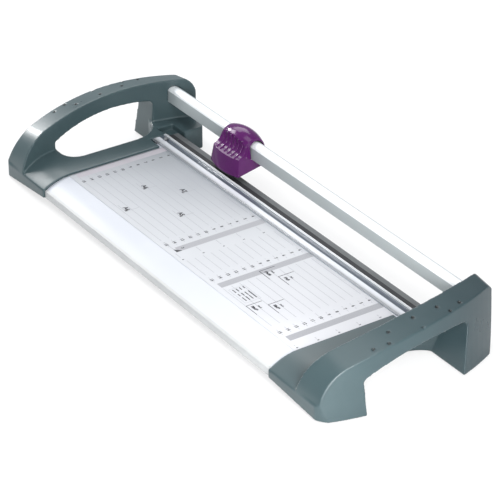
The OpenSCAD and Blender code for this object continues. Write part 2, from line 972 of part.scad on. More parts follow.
// Saddle that runs on the rail, with a lug in front for the guide pins and springs
module carriage() {
    color(black_colour)
        at_head()
            difference() {
                union() {
                    along_x(-carriage_len / 2, carriage_len / 2)
                        rail_section(liner_gap + liner_t + carriage_t);
                    box([-lug_len / 2, lug_front, lug_z], [lug_len / 2, rail_y, lug_z + lug_h]);
                    box([-carriage_len / 2, rail_y - liner_gap - liner_t - carriage_t, lug_z],
                        [carriage_len / 2, rail_y, rail_z + rail_face / 2]);
                }
                along_x(-head_len, head_len)
                    rail_section(liner_gap + liner_t);
                for (side = [-1, 1])
                    translate([side * guide_x, guide_y, lug_z - over])
                        cylinder(d = guide_d + 2 * play, h = lug_h + 2 * over, $fn = 32);
            }
}

// Slippery liner between the saddle and the rail
module glide_liner() {
    color("#d8d8d2")
        at_head()
            along_x(-carriage_len / 2, carriage_len / 2)
                difference() {
                    rail_section(liner_gap + liner_t);
                    rail_section(liner_gap);
                }
}

// Dome of the head: a barrel along the rail, its wall drawn in by g
module dome(g) {
    translate([0, dome_y, dome_z])
        rotate([0, 90, 0])
            rotate_extrude($fn = 180)
                intersection() {
                    translate([dome_r - dome_crown_r, 0])
                        circle(r = dome_crown_r - g, $fn = 480);
                    translate([0, -dome_len / 2])
                        square([dome_r, dome_len]);
                }
}

// Leaning, bowed front of the head, drawn in by g
module head_face(g) {
    high = crown_h + 2 * over;
    translate([0, head_y + face_r, head_z - over])
        cylinder(r1 = face_r - g + face_lean * over, r2 = face_r - g - face_lean * high, h = over + high, $fn = 480);
}

// Outer form of the head with its walls drawn in by g and, where g is not zero, open below
module head_block(g) {
    low = g > 0 ? -over : 0;
    rear = head_rear + over;
    front = head_y - over;
    high = crown_h + 2 * over;
    half_len = head_len / 2 - g;
    difference() {
        intersection() {
            union() {
                dome(g);
                along_x(-head_len, head_len)
                    polygon([
                        [front, low],
                        [front, scoop_z - scoop_r],
                        [scoop_y, scoop_z],
                        [dome_y, dome_z],
                        [rear, dome_z],
                        [rear, low]
                    ]);
            }
            along_x(-head_len, head_len)
                polygon([
                    [front, head_z - over * foot_rise + low],
                    [rear, head_z + (rear - head_y) * foot_rise + low],
                    [rear, high],
                    [front, high]
                ]);
            translate([0, rear, 0])
                rotate([90, 0, 0])
                    linear_extrude(height = rear - front)
                        polygon([
                            [-half_len - end_lean * (over - head_z), -over + head_z],
                            [half_len + end_lean * (over - head_z), -over + head_z],
                            [half_len - end_lean * high, high + head_z],
                            [-half_len + end_lean * high, high + head_z]
                        ]);
            head_face(g);
            translate([0, head_rear - dome_crown_r, 0])
                cylinder(r = dome_crown_r - g, h = high + head_z, $fn = 480);
        }
        along_x(-head_len, head_len)
            translate([scoop_y, scoop_z])
                circle(r = scoop_r + g, $fn = 120);
    }
}

module head_shell() {
    color(head_colour)
        at_head()
            difference() {
                union() {
                    difference() {
                        head_block(0);
                        head_block(head_t);
                    }
                    intersection() {
                        head_block(0);
                        for (side = [-1, 1]) {
                            translate([side * guide_x, guide_y, guide_seat])
                                cylinder(d = guide_boss_d, h = scoop_r, $fn = 32);
                            translate([side * holder_screw_x, holder_front, holder_screw_z])
                                rotate([90, 0, 0])
                                    cylinder(d = holder_boss_d, h = 2 * head_front, $fn = 32);
                        }
                    }
                    scoop_ribs();
                }
                along_x(-head_len, head_len)
                    intersection() {
                        rail_section(rail_gap);
                        translate([0, rail_z - clear])
                            square([head_rear, crown_h]);
                    }
                for (side = [-1, 1]) {
                    translate([side * guide_x, guide_y, guide_seat - over])
                        cylinder(d = guide_d, h = guide_top - guide_seat + over, $fn = 32);
                    translate([side * holder_screw_x, holder_front + over, holder_screw_z])
                        rotate([90, 0, 0])
                            cylinder(d = holder_screw_d, h = holder_bore + over, $fn = 32);
                }
            }
}

// Upright ribs round the thumb scoop
module scoop_ribs() {
    intersection() {
        for (i = [0 : rib_n - 1])
            translate([(i - (rib_n - 1) / 2) * rib_pitch, 0, 0])
                along_x(-rib_w / 2, rib_w / 2)
                    difference() {
                        intersection() {
                            translate([scoop_y, scoop_z])
                                circle(r = scoop_r + head_t / 2, $fn = 120);
                            translate([scoop_y + scoop_r / 4, rib_low])
                                square([2 * scoop_r, scoop_z - rib_low + scoop_r / 4]);
                        }
                        translate([scoop_y, scoop_z])
                            circle(r = scoop_r - rib_h, $fn = 120);
                    }
        translate([0, head_y, 0])
            box([-head_len / 2, 0, head_z], [head_len / 2, head_rear - head_y, scoop_z + scoop_r / 4]);
    }
}

module head_guide_pins() {
    color(steel_colour)
        at_head()
            for (side = [-1, 1])
                translate([side * guide_x, guide_y, guide_low])
                    cylinder(d = guide_d, h = guide_top - guide_low, $fn = 32);
}

module head_spring(side) {
    color(steel_colour)
        at_head()
            translate([side * guide_x, guide_y, lug_z + lug_h])
                coil(head_spring_d, head_spring_wire, guide_seat - lug_z - lug_h, head_spring_turns);
}

module head_spring_left() {
    head_spring(-1);
}

module head_spring_right() {
    head_spring(1);
}

// Plate behind the blade that carries its axle, with a skirt down behind the edge
module blade_holder() {
    color(black_colour)
        at_head()
            difference() {
                union() {
                    box([-holder_len / 2, holder_front, holder_low], [holder_len / 2, holder_front + holder_t, holder_top]);
                    box([-holder_skirt_len / 2, holder_front, holder_skirt_z],
                        [holder_skirt_len / 2, holder_front + holder_t, holder_low + holder_t]);
                }
                translate([0, holder_front - over, blade_z])
                    rotate([-90, 0, 0])
                        cylinder(d = axle_d, h = holder_t + 2 * over, $fn = 32);
                for (side = [-1, 1])
                    translate([side * holder_screw_x, holder_front - over, holder_screw_z])
                        rotate([-90, 0, 0])
                            cylinder(d = holder_screw_d + 2 * fit, h = holder_t + 2 * over, $fn = 32);
            }
}

module holder_screws() {
    color(steel_colour)
        at_head()
            for (side = [-1, 1])
                translate([side * holder_screw_x, holder_front + holder_t, holder_screw_z])
                    rotate([90, 0, 0])
                        screw(holder_screw_d, holder_screw_head_d, holder_screw_head_t, holder_t + holder_screw_bite);
}

// Guard in front of the blade, against the inside of the front of the head
module blade_guard() {
    color(black_colour)
        at_head()
            intersection() {
                head_face(head_t);
                box([-guard_len / 2, head_y, guard_z], [guard_len / 2, guard_rear, guard_top]);
            }
}

module blade_axle() {
    color(steel_colour)
        at_head()
            translate([0, holder_front + holder_t, blade_z])
                rotate([90, 0, 0]) {
                    cylinder(d = axle_d, h = holder_t + blade_t + blade_gap + fit + axle_head_t / 2, $fn = 48);
                    translate([0, 0, holder_t + blade_t + blade_gap + fit])
                        cylinder(d = axle_head_d, h = axle_head_t, $fn = 48);
                }
}

// Round blade, ground to an edge on both faces
module cutting_blade() {
    color("#c9ccd0")
        at_head()
            translate([0, blade_front + blade_t / 2, blade_z])
                rotate([90, 0, 0])
                    rotate_extrude($fn = 96)
                        polygon([
                            [axle_d / 2 + play, -blade_t / 2],
                            [blade_r - grind_share * blade_t, -blade_t / 2],
                            [blade_r, 0],
                            [blade_r - grind_share * blade_t, blade_t / 2],
                            [axle_d / 2 + play, blade_t / 2]
                        ]);
}

base_board();
front_edging();
scale_sheet();
stiffener_front();
stiffener_rear();
rear_channel();
cutting_mat();
end_cap_left();
end_cap_right();
end_bracket_left();
end_bracket_right();
guide_rail();
rail_screws();
frame_screws();
rubber_feet();
clamp_pins();
clamp_strip();
clamp_grip();
clamp_spring_left();
clamp_spring_right();
carriage();
glide_liner();
head_shell();
head_guide_pins();
head_spring_left();
head_spring_right();
blade_holder();
holder_screws();
blade_guard();
blade_axle();
cutting_blade();
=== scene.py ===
import bpy
import math
from mathutils import Matrix, Vector


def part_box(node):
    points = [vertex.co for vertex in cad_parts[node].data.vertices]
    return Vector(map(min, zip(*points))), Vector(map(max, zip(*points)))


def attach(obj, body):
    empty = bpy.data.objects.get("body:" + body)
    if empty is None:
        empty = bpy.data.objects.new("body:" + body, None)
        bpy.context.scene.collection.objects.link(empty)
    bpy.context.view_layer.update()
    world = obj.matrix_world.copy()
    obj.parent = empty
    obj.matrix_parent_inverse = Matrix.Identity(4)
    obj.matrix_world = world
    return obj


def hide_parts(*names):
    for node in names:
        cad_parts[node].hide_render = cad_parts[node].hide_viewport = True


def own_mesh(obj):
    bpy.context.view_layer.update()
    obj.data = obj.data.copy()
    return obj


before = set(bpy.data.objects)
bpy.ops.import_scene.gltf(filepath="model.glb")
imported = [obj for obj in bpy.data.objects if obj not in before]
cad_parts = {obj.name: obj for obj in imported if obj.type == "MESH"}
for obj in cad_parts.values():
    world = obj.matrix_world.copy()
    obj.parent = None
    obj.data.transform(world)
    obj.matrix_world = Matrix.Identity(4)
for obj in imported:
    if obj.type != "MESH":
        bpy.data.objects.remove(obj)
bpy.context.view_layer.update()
bpy.ops.object.select_all(action="DESELECT")
print("frame loaded:", len(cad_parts), "nodes")

scene = bpy.context.scene
scene.view_settings.view_transform = "Standard"
sheetLow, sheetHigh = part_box("scale_sheet")
# zero of the rulers, in metres from the sheet's low corner: its far end, and the line that the printed
# numbers across the table count from
rulerZero = dict(x=-0.0001, y=0.157)
zeroX = sheetLow[0] + rulerZero["x"]
zeroY = sheetLow[1] + rulerZero["y"]
tableZ = sheetLow[2]


# small helpers

def onTable(x, y, z=0.0):
    # millimetres along the rulers to metres in the frame
    return Vector((zeroX + x / 1000, zeroY + y / 1000, tableZ + z / 1000))


def pickOnly(piece):
    bpy.ops.object.select_all(action="DESELECT")
    piece.select_set(True)
    bpy.context.view_layer.objects.active = piece


def applyPlace(piece):
    pickOnly(piece)
    bpy.ops.object.transform_apply(location=True, rotation=True, scale=True)


def addModifier(piece, kind, **values):
    pickOnly(piece)
    bpy.ops.object.modifier_add(type=kind)
    made = piece.modifiers[-1]
    for key, value in values.items():
        setattr(made, key, value)
    bpy.ops.object.modifier_apply(modifier=made.name)


def joinPieces(pieces, name):
    bpy.ops.object.select_all(action="DESELECT")
    for piece in pieces:
        piece.select_set(True)
    bpy.context.view_layer.objects.active = pieces[0]
    if len(pieces) > 1:
        bpy.ops.object.join()
    joined = bpy.context.view_layer.objects.active
    joined.name = name
    return joined


def copyPiece(piece, matrix):
    twin = piece.copy()
    twin.data = piece.data.copy()
    bpy.context.collection.objects.link(twin)
    twin.data.transform(matrix)
    return twin


def smoothByAngle(piece, degrees):
    pickOnly(piece)
    bpy.ops.object.shade_smooth_by_angle(angle=math.radians(degrees))


def dress(piece, material):
    piece.data.materials.clear()
    piece.data.materials.append(material)


# shared surface effects

def groupSocket(group, name, direction, kind, value=None):
    made = group.interface.new_socket(name=name, in_out=direction, socket_type=kind)
    if value is not None:
        made.default_value = value


finishDefaults = dict(grain=900.0, patch=20.0, stretch=(1.0, 1.0, 1.0), rough=(0.4, 0.5), bump=0.2,
                      bumpDepth=0.00005)
grainValues = dict(detail=2.0, patchDetail=4.0, patchRoughness=0.6, patchFrom=0.3, patchTo=0.7)


def makeGrainGroup():
    # fine grain for bump, and broad soft patches for colour and roughness
    group = bpy.data.node_groups.new("surfaceGrain", "ShaderNodeTree")
    groupSocket(group, "Grain Scale", "INPUT", "NodeSocketFloat", finishDefaults["grain"])
    groupSocket(group, "Patch Scale", "INPUT", "NodeSocketFloat", finishDefaults["patch"])
    groupSocket(group, "Stretch", "INPUT", "NodeSocketVector", finishDefaults["stretch"])
    groupSocket(group, "Height", "OUTPUT", "NodeSocketFloat")
    groupSocket(group, "Patch", "OUTPUT", "NodeSocketFloat")
    nodes, links = group.nodes, group.links
    entry = nodes.new("NodeGroupInput")
    leave = nodes.new("NodeGroupOutput")
    place = nodes.new("ShaderNodeTexCoord")
    stretch = nodes.new("ShaderNodeMapping")
    fine = nodes.new("ShaderNodeTexNoise")
    fine.inputs["Detail"].default_value = grainValues["detail"]
    broad = nodes.new("ShaderNodeTexNoise")
    broad.inputs["Detail"].default_value = grainValues["patchDetail"]
    broad.inputs["Roughness"].default_value = grainValues["patchRoughness"]
    spread = nodes.new("ShaderNodeMapRange")
    spread.inputs["From Min"].default_value = grainValues["patchFrom"]
    spread.inputs["From Max"].default_value = grainValues["patchTo"]
    links.new(place.outputs["Object"], stretch.inputs["Vector"])
    links.new(entry.outputs["Stretch"], stretch.inputs["Scale"])
    links.new(stretch.outputs["Vector"], fine.inputs["Vector"])
    links.new(stretch.outputs["Vector"], broad.inputs["Vector"])
    links.new(entry.outputs["Grain Scale"], fine.inputs["Scale"])
    links.new(entry.outputs["Patch Scale"], broad.inputs["Scale"])
    links.new(broad.outputs["Fac"], spread.inputs["Value"])
    links.new(fine.outputs["Fac"], leave.inputs["Height"])
    links.new(spread.outputs["Result"], leave.inputs["Patch"])
    return group


grainGroup = makeGrainGroup()


def makeFinish(name, chosen):
    # principled shader with grain in its bump and soft patches in its colour and roughness
    values = {**finishDefaults, **chosen}
    material = bpy.data.materials.new(name)
    material.use_nodes = True
    nodes, links = material.node_tree.nodes, material.node_tree.links
    shader = nodes["Principled BSDF"]
    grain = nodes.new("ShaderNodeGroup")
    grain.node_tree = grainGroup
    grain.inputs["Grain Scale"].default_value = values["grain"]
    grain.inputs["Patch Scale"].default_value = values["patch"]
    grain.inputs["Stretch"].default_value = values["stretch"]
    tint = nodes.new("ShaderNodeMix")
    tint.data_type = "RGBA"
    tint.inputs["A"].default_value = (*values["colour"], 1)
    tint.inputs["B"].default_value = (*values.get("patchColour", values["colour"]), 1)
    rough = nodes.new("ShaderNodeMapRange")
    low, high = values["rough"]
    rough.inputs["To Min"].default_value = low
    rough.inputs["To Max"].default_value = high
    bump = nodes.new("ShaderNodeBump")
    bump.inputs["Strength"].default_value = values["bump"]
    bump.inputs["Distance"].default_value = values["bumpDepth"]
    links.new(grain.outputs["Patch"], tint.inputs["Factor"])
    links.new(grain.outputs["Patch"], rough.inputs["Value"])
    links.new(grain.outputs["Height"], bump.inputs["Height"])
    links.new(tint.outputs["Result"], shader.inputs["Base Color"])
    links.new(rough.outputs["Result"], shader.inputs["Roughness"])
    links.new(bump.outputs["Normal"], shader.inputs["Normal"])
    for socket, value in values.get("sockets", {}).items():
        shader.inputs[socket].default_value = value
    return material


finishes = {
    "capPlastic": dict(colour=(0.047, 0.077, 0.084), patchColour=(0.056, 0.089, 0.096), grain=1500, patch=14,
                       rough=(0.27, 0.36), bump=0.2, bumpDepth=0.00003, sockets={"Specular IOR Level": 0.42}),
    # near-black: painted shade inside the handles' dimples, a darker copy of the cap plastic
    "dimpleShade": dict(colour=(0.006, 0.010, 0.011), patchColour=(0.012, 0.018, 0.019), rough=(0.3, 0.45)),
    "bracketPlastic": dict(colour=(0.012, 0.012, 0.013), patchColour=(0.02, 0.02, 0.021), rough=(0.45, 0.6)),
    "boardCoat": dict(colour=(0.66, 0.675, 0.715), patchColour=(0.635, 0.65, 0.69), grain=2200, patch=9,
                      rough=(0.32, 0.42), bump=0.12, bumpDepth=0.00002),
    "edgingPlastic": dict(colour=(0.52, 0.53, 0.53), patchColour=(0.46, 0.47, 0.47), rough=(0.38, 0.5)),
    "steelGrey": dict(colour=(0.42, 0.43, 0.45), patchColour=(0.33, 0.34, 0.36), grain=1600,
                      stretch=(0.06, 1, 1), rough=(0.28, 0.42), bump=0.3, sockets={"Metallic": 1.0}),
    "springSteel": dict(colour=(0.5, 0.5, 0.52), patchColour=(0.4, 0.4, 0.42), rough=(0.2, 0.32),
                        sockets={"Metallic": 1.0}),
    "screwSteel": dict(colour=(0.46, 0.46, 0.47), patchColour=(0.36, 0.36, 0.37), rough=(0.22, 0.4),
                       sockets={"Metallic": 1.0}),
    "bladeSteel": dict(colour=(0.62, 0.63, 0.65), patchColour=(0.5, 0.51, 0.53), grain=2600, patch=120,
                       rough=(0.14, 0.26), bump=0.15, sockets={"Metallic": 1.0}),
    "channelCoat": dict(colour=(0.105, 0.112, 0.115), patchColour=(0.135, 0.142, 0.145), grain=2000, patch=18,
                        rough=(0.3, 0.42), bump=0.2, sockets={"Specular IOR Level": 0.6}),
    "matRubber": dict(colour=(0.014, 0.014, 0.016), patchColour=(0.03, 0.03, 0.034), grain=1800, patch=60,
                      rough=(0.5, 0.7), bump=0.4),
    "railAluminium": dict(colour=(0.86, 0.875, 0.88), patchColour=(0.82, 0.835, 0.84), grain=2600, patch=40,
                          stretch=(0.02, 1, 1), rough=(0.36, 0.46), bump=0.25, bumpDepth=0.00002,
                          sockets={"Metallic": 0.2}),
    "footRubber": dict(colour=(0.014, 0.014, 0.014), patchColour=(0.03, 0.03, 0.03),
                       rough=(0.6, 0.8), bump=0.5),
    # liner: a real part, coloured with the head's purple darkened as painted shade round the rail in the
    # head's opening
    "linerShadedPurple": dict(colour=(0.05, 0.006, 0.06), patchColour=(0.04, 0.005, 0.05), rough=(0.35, 0.5)),
    "headPlastic": dict(colour=(0.088, 0.0075, 0.102), patchColour=(0.074, 0.006, 0.086), grain=700, patch=30,
                        rough=(0.12, 0.18), bump=0.04, bumpDepth=0.00002,
                        sockets={"Specular IOR Level": 0.32}),
    "darkPlastic": dict(colour=(0.014, 0.014, 0.016), patchColour=(0.024, 0.024, 0.026), rough=(0.3, 0.45)),
    "printInk": dict(colour=(0.012, 0.012, 0.018), patchColour=(0.02, 0.02, 0.03), rough=(0.4, 0.5)),
    "printGrey": dict(colour=(0.29, 0.295, 0.315), patchColour=(0.33, 0.335, 0.355), grain=900, patch=900,
                      rough=(0.4, 0.5)),
    "printRose": dict(colour=(0.36, 0.34, 0.37), patchColour=(0.40, 0.375, 0.41), rough=(0.4, 0.5)),
    "siliconeGrip": dict(colour=(0.7, 0.72, 0.74), patchColour=(0.62, 0.64, 0.66), rough=(0.4, 0.5),
                         sockets={"Alpha": 0.35}),
    "printedFilm": dict(colour=(0.70, 0.70, 0.70), patchColour=(0.675, 0.675, 0.675), grain=2400, patch=10,
                        rough=(0.3, 0.4), bump=0.08, bumpDepth=0.00002),
    "printLine": dict(colour=(0.24, 0.25, 0.28), patchColour=(0.30, 0.31, 0.34), rough=(0.4, 0.5)),
}
material = {name: makeFinish(name, values) for name, values in finishes.items()}


def addRamp(nodes, stops):
    # colour ramp; the first two stops are its ends, the others lie between them
    ramp = nodes.new("ShaderNodeValToRGB")
    elements = ramp.color_ramp.elements
    for count, (share, colour) in enumerate(stops):
        stop = elements[count] if count < 2 else elements.new(share)
        stop.position = share
        stop.color = colour if len(colour) == 4 else (*colour, 1)
    return ramp


def fadeAlong(made, rearStops, frontStops, low=sheetLow, high=sheetHigh):
    # multiplies the colour by painted shade along the cut, blended from front tones to rear tones across it,
    # so that the fall of light along the object is painted into the colour
    nodes, links = made.node_tree.nodes, made.node_tree.links
    shader = nodes["Principled BSDF"]
    flat = shader.inputs["Base Color"].links[0].from_socket
    place = nodes.new("ShaderNodeTexCoord")
    axes = nodes.new("ShaderNodeSeparateXYZ")
    along = nodes.new("ShaderNodeMapRange")
    along.inputs["From Min"].default_value = low[0]
    along.inputs["From Max"].default_value = high[0]
    across = nodes.new("ShaderNodeMapRange")
    across.inputs["From Min"].default_value = low[1]
    across.inputs["From Max"].default_value = high[1]
    front, rear = addRamp(nodes, frontStops), addRamp(nodes, rearStops)
    tone = nodes.new("ShaderNodeMix")
    tone.data_type = "RGBA"
    faded = nodes.new("ShaderNodeMix")
    faded.data_type = "RGBA"
    faded.blend_type = "MULTIPLY"
    faded.inputs["Factor"].default_value = 1.0
    links.new(place.outputs["Object"], axes.inputs["Vector"])
    links.new(axes.outputs["X"], along.inputs["Value"])
    links.new(axes.outputs["Y"], across.inputs["Value"])
    links.new(along.outputs["Result"], front.inputs["Fac"])
    links.new(along.outputs["Result"], rear.inputs["Fac"])
    links.new(across.outputs["Result"], tone.inputs["Factor"])
    links.new(front.outputs["Color"], tone.inputs["A"])
    links.new(rear.outputs["Color"], tone.inputs["B"])
    links.new(flat, faded.inputs["A"])
    links.new(tone.outputs["Result"], faded.inputs["B"])
    links.new(faded.outputs["Result"], shader.inputs["Base Color"])


def toneBySlope(made, stops):
    # multiplies the colour by painted shade for each slope: share 0 faces the front, share 1 the rear
    nodes, links = made.node_tree.nodes, made.node_tree.links
    shader = nodes["Principled BSDF"]
    flat = shader.inputs["Base Color"].links[0].from_socket
    surface = nodes.new("ShaderNodeNewGeometry")
    axes = nodes.new("ShaderNodeSeparateXYZ")
    turn = nodes.new("ShaderNodeMapRange")
    turn.inputs["From Min"].default_value = -1.0
    ramp = addRamp(nodes, stops)
    toned = nodes.new("ShaderNodeMix")
    toned.data_type = "RGBA"
    toned.blend_type = "MULTIPLY"
    toned.inputs["Factor"].default_value = 1.0
    links.new(surface.outputs["True Normal"], axes.inputs["Vector"])
    links.new(axes.outputs["Y"], turn.inputs["Value"])
    links.new(turn.outputs["Result"], ramp.inputs["Fac"])
    links.new(flat, toned.inputs["A"])
    links.new(ramp.outputs["Color"], toned.inputs["B"])
    links.new(toned.outputs["Result"], shader.inputs["Base Color"])


def makeClearFinish():
    # clear strip: see-through in front, then painted highlight and shade: a pale band, a dark band, and a pale
    # bar with grey walls
    made = makeFinish("clearPlastic", clearValues)
    nodes, links = made.node_tree.nodes, made.node_tree.links
    shader = nodes["Principled BSDF"]
    surface = nodes.new("ShaderNodeNewGeometry")
    split = nodes.new("ShaderNodeSeparateXYZ")
    steep = nodes.new("ShaderNodeMath")
    steep.operation = "ABSOLUTE"
    wall = nodes.new("ShaderNodeMapRange")
    wall.inputs["From Min"].default_value = clearValues["wallFrom"]
    wall.inputs["From Max"].default_value = clearValues["wallTo"]
    place = nodes.new("ShaderNodeTexCoord")
    axes = nodes.new("ShaderNodeSeparateXYZ")
    across = nodes.new("ShaderNodeMapRange")
    stripLow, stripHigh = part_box("clamp_strip")
    across.inputs["From Min"].default_value = stripLow[1]
    across.inputs["From Max"].default_value = stripHigh[1]
    ramp = addRamp(nodes, clearPaintedBands)
    toned = nodes.new("ShaderNodeMix")
    toned.data_type = "RGBA"
    toned.inputs["B"].default_value = (*clearValues["wallShade"], 1)
    cover = nodes.new("ShaderNodeMath")
    cover.operation = "MAXIMUM"
    facing = nodes.new("ShaderNodeMath")
    facing.operation = "SUBTRACT"
    facing.inputs[0].default_value = 1.0
    seen = nodes.new("ShaderNodeMath")
    seen.operation = "MULTIPLY"
    links.new(surface.outputs["Normal"], split.inputs["Vector"])
    links.new(split.outputs["Y"], steep.inputs[0])
    links.new(steep.outputs["Value"], wall.inputs["Value"])
    links.new(place.outputs["Object"], axes.inputs["Vector"])
    links.new(axes.outputs["Y"], across.inputs["Value"])
    links.new(across.outputs["Result"], ramp.inputs["Fac"])
    links.new(wall.outputs["Result"], toned.inputs["Factor"])
    links.new(ramp.outputs["Color"], toned.inputs["A"])
    links.new(toned.outputs["Result"], shader.inputs["Base Color"])
    links.new(ramp.outputs["Alpha"], cover.inputs[0])
    links.new(wall.outputs["Result"], cover.inputs[1])
    links.new(surface.outputs["Backfacing"], facing.inputs[1])
    links.new(cover.outputs["Value"], seen.inputs[0])
    links.new(facing.outputs["Value"], seen.inputs[1])
    links.new(seen.outputs["Value"], shader.inputs["Alpha"])
    return made


# walls: faces whose slope lies above wallFrom turn a painted grey shade, fully so from wallTo on
clearValues = dict(colour=(0.5, 0.5, 0.5), grain=300, patch=12, rough=(0.12, 0.18), bump=0.01,
                   bumpDepth=0.00001, wallFrom=0.5, wallTo=0.9, wallShade=(0.38, 0.405, 0.44))
# share of the strip's width from its front, colour there, and how solid it looks; the ends come first. The
# pale bands are painted highlights and the dark band is painted shade seen through the plastic
clearPaintedBands = [
    (0.0, (0.45, 0.47, 0.50, 0.12)), (1.0, (0.95, 0.96, 0.97, 0.98)),
    (0.08, (0.62, 0.64, 0.67, 0.3)), (0.2, (0.70, 0.72, 0.75, 0.7)), (0.34, (0.72, 0.74, 0.78, 0.88)),
    (0.49, (0.72, 0.74, 0.78, 0.92)), (0.54, (0.09, 0.105, 0.13, 0.92)), (0.82, (0.10, 0.115, 0.14, 0.92)),
    (0.845, (0.60, 0.62, 0.64, 0.95)), (0.93, (0.52, 0.54, 0.56, 0.96)),
]
# colour factors by share of the length from the far end, painted shade where the light falls off; the ends
# come first
# board and rail: painted shade that darkens them towards the far end
boardPaintedFalloff = [(0.0, (0.70, 0.715, 0.74)), (1.0, (0.89, 0.90, 0.915))]
railPaintedFalloff = [(0.0, (0.9, 0.92, 0.93)), (1.0, (1, 1, 1)), (0.45, (1, 1, 1))]
# end caps: painted shade, darker towards the near end and most of all at its rear
capRearPaintedShade = [(0.0, (1, 1, 1)), (1.0, (0.5, 0.53, 0.56))]
capFrontPaintedShade = [(0.0, (1, 1, 1)), (1.0, (0.84, 0.85, 0.86))]
# printed sheet: painted shade and a painted bluish reflection, darker and bluer towards the far end and
# towards the rear
sheetRearPaintedShade = [(0.0, (0.33, 0.36, 0.39)), (1.0, (0.76, 0.765, 0.80)),
             (0.2, (0.37, 0.395, 0.43)), (0.52, (0.64, 0.66, 0.69))]
sheetFrontPaintedShade = [(0.0, (0.56, 0.58, 0.615)), (1.0, (0.86, 0.865, 0.905)), (0.5, (0.71, 0.73, 0.765))]
# colour factors by slope of the rail's surface, painted light and shade: grey front face, pale top, darker
# rear
railSlopeShade = [(0.0, (0.55, 0.585, 0.585)), (1.0, (0.5, 0.52, 0.53)), (0.02, (0.55, 0.585, 0.585)),
              (0.05, (1, 1, 1)), (0.55, (1, 1, 1)), (0.68, (0.76, 0.78, 0.79)), (0.82, (0.55, 0.57, 0.58))]

fadeAlong(material["printedFilm"], sheetRearPaintedShade, sheetFrontPaintedShade)
fadeAlong(material["boardCoat"], boardPaintedFalloff, boardPaintedFalloff)
fadeAlong(material["railAluminium"], railPaintedFalloff, railPaintedFalloff)
fadeAlong(material["capPlastic"], capRearPaintedShade, capFrontPaintedShade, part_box("end_cap_left")[0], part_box("end_cap_right")[1])
toneBySlope(material["railAluminium"], railSlopeShade)
material["clearPlastic"] = makeClearFinish()
print("finishes made:", len(material))

# every CAD node gets its finish here, also those that a piece made below replaces
nodeFinish = {
    "base_board": "boardCoat", "front_edging": "edgingPlastic", "scale_sheet": "printedFilm",
    "stiffener_front": "steelGrey", "stiffener_rear": "steelGrey", "rear_channel": "channelCoat",
    "cutting_mat": "matRubber", "end_cap_left": "capPlastic", "end_cap_right": "capPlastic",
    "end_bracket_left": "bracketPlastic", "end_bracket_right": "bracketPlastic",
    "guide_rail": "railAluminium", "rail_screws": "screwSteel", "frame_screws": "screwSteel",
    "rubber_feet": "footRubber",
    "clamp_pins": "screwSteel", "clamp_strip": "clearPlastic", "clamp_grip": "siliconeGrip",
    "clamp_spring_left": "springSteel", "clamp_spring_right": "springSteel", "carriage": "darkPlastic",
    "glide_liner": "linerShadedPurple", "head_shell": "headPlastic", "head_guide_pins": "screwSteel",
    "head_spring_left": "springSteel", "head_spring_right": "springSteel", "blade_holder": "darkPlastic",
    "holder_screws": "screwSteel", "blade_guard": "darkPlastic", "blade_axle": "screwSteel",
    "cutting_blade": "bladeSteel",
}
for nodeName, finishName in nodeFinish.items():
    dress(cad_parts[nodeName], material[finishName])


# moulded shells with rounded edges

mouldedShells = {
    "end_cap_left": dict(piece="capShellLeft", body="base", finish="capPlastic", slot="cap", voxel=0.0009,
                         soften=6, keep=0.34),
    "end_cap_right": dict(piece="capShellRight", body="base", finish="capPlastic", slot="cap", voxel=0.0009,
                          soften=6, keep=0.34),
    "head_shell": dict(piece="headShellSoft", body="cutter_head", finish="headPlastic", slot="head",
                       voxel=0.00028, soften=2, keep=0.26),
}
weldDistance = 0.000002
softenShare = 0.5
# degrees between two faces up to which their shared edge is shaded smooth
smoothAngles = dict(shell=60, strip=35, stud=30, spring=60)


def copyNode(node, name):
    # copy of a CAD node with its own mesh, origin at the frame's origin
    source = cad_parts[node]
    twin = source.copy()
    twin.data = source.data.copy()
    twin.parent = None
    twin.matrix_world = Matrix.Identity(4)
    twin.name = name
    bpy.context.collection.objects.link(twin)
    twin.data.transform(source.matrix_world)
    return twin


def makeMouldedShell(node, values):
    shell = copyNode(node, values["piece"])
    pickOnly(shell)
    bpy.ops.object.mode_set(mode="EDIT")
    bpy.ops.mesh.select_all(action="SELECT")
    bpy.ops.mesh.remove_doubles(threshold=weldDistance)
    bpy.ops.object.mode_set(mode="OBJECT")
    addModifier(shell, "REMESH", mode="VOXEL", voxel_size=values["voxel"], use_smooth_shade=True)
    addModifier(shell, "SMOOTH", factor=softenShare, iterations=values["soften"])
    addModifier(shell, "DECIMATE", decimate_type="COLLAPSE", ratio=values["keep"])
    smoothByAngle(shell, smoothAngles["shell"])
    dress(shell, material[values["finish"]])
    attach(shell, values["body"])
    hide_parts(node)
    print(shell.name, "faces", len(shell.data.polygons))
    return shell


shells = {node: makeMouldedShell(node, values) for node, values in mouldedShells.items()}


# clear strip with eased edges

stripValues = dict(piece="clearStrip", ease=0.00035, easeAngle=60, easeSteps=2, flatAngle=1)


def makeClearStrip(values):
    strip = copyNode("clamp_strip", values["piece"])
    pickOnly(strip)
    bpy.ops.object.mode_set(mode="EDIT")
    bpy.ops.mesh.select_all(action="SELECT")
    bpy.ops.mesh.remove_doubles(threshold=weldDistance)
    bpy.ops.mesh.dissolve_limited(angle_limit=math.radians(values["flatAngle"]))
    bpy.ops.object.mode_set(mode="OBJECT")
    addModifier(strip, "BEVEL", width=values["ease"], segments=values["easeSteps"], limit_method="ANGLE",
                angle_limit=math.radians(values["easeAngle"]))
    smoothByAngle(strip, smoothAngles["strip"])
    dress(strip, material["clearPlastic"])
    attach(strip, "clamp")
    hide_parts("clamp_strip")


makeClearStrip(stripValues)


# small near-black cups in the tops of the handles, painted shade inside the handles' dimples

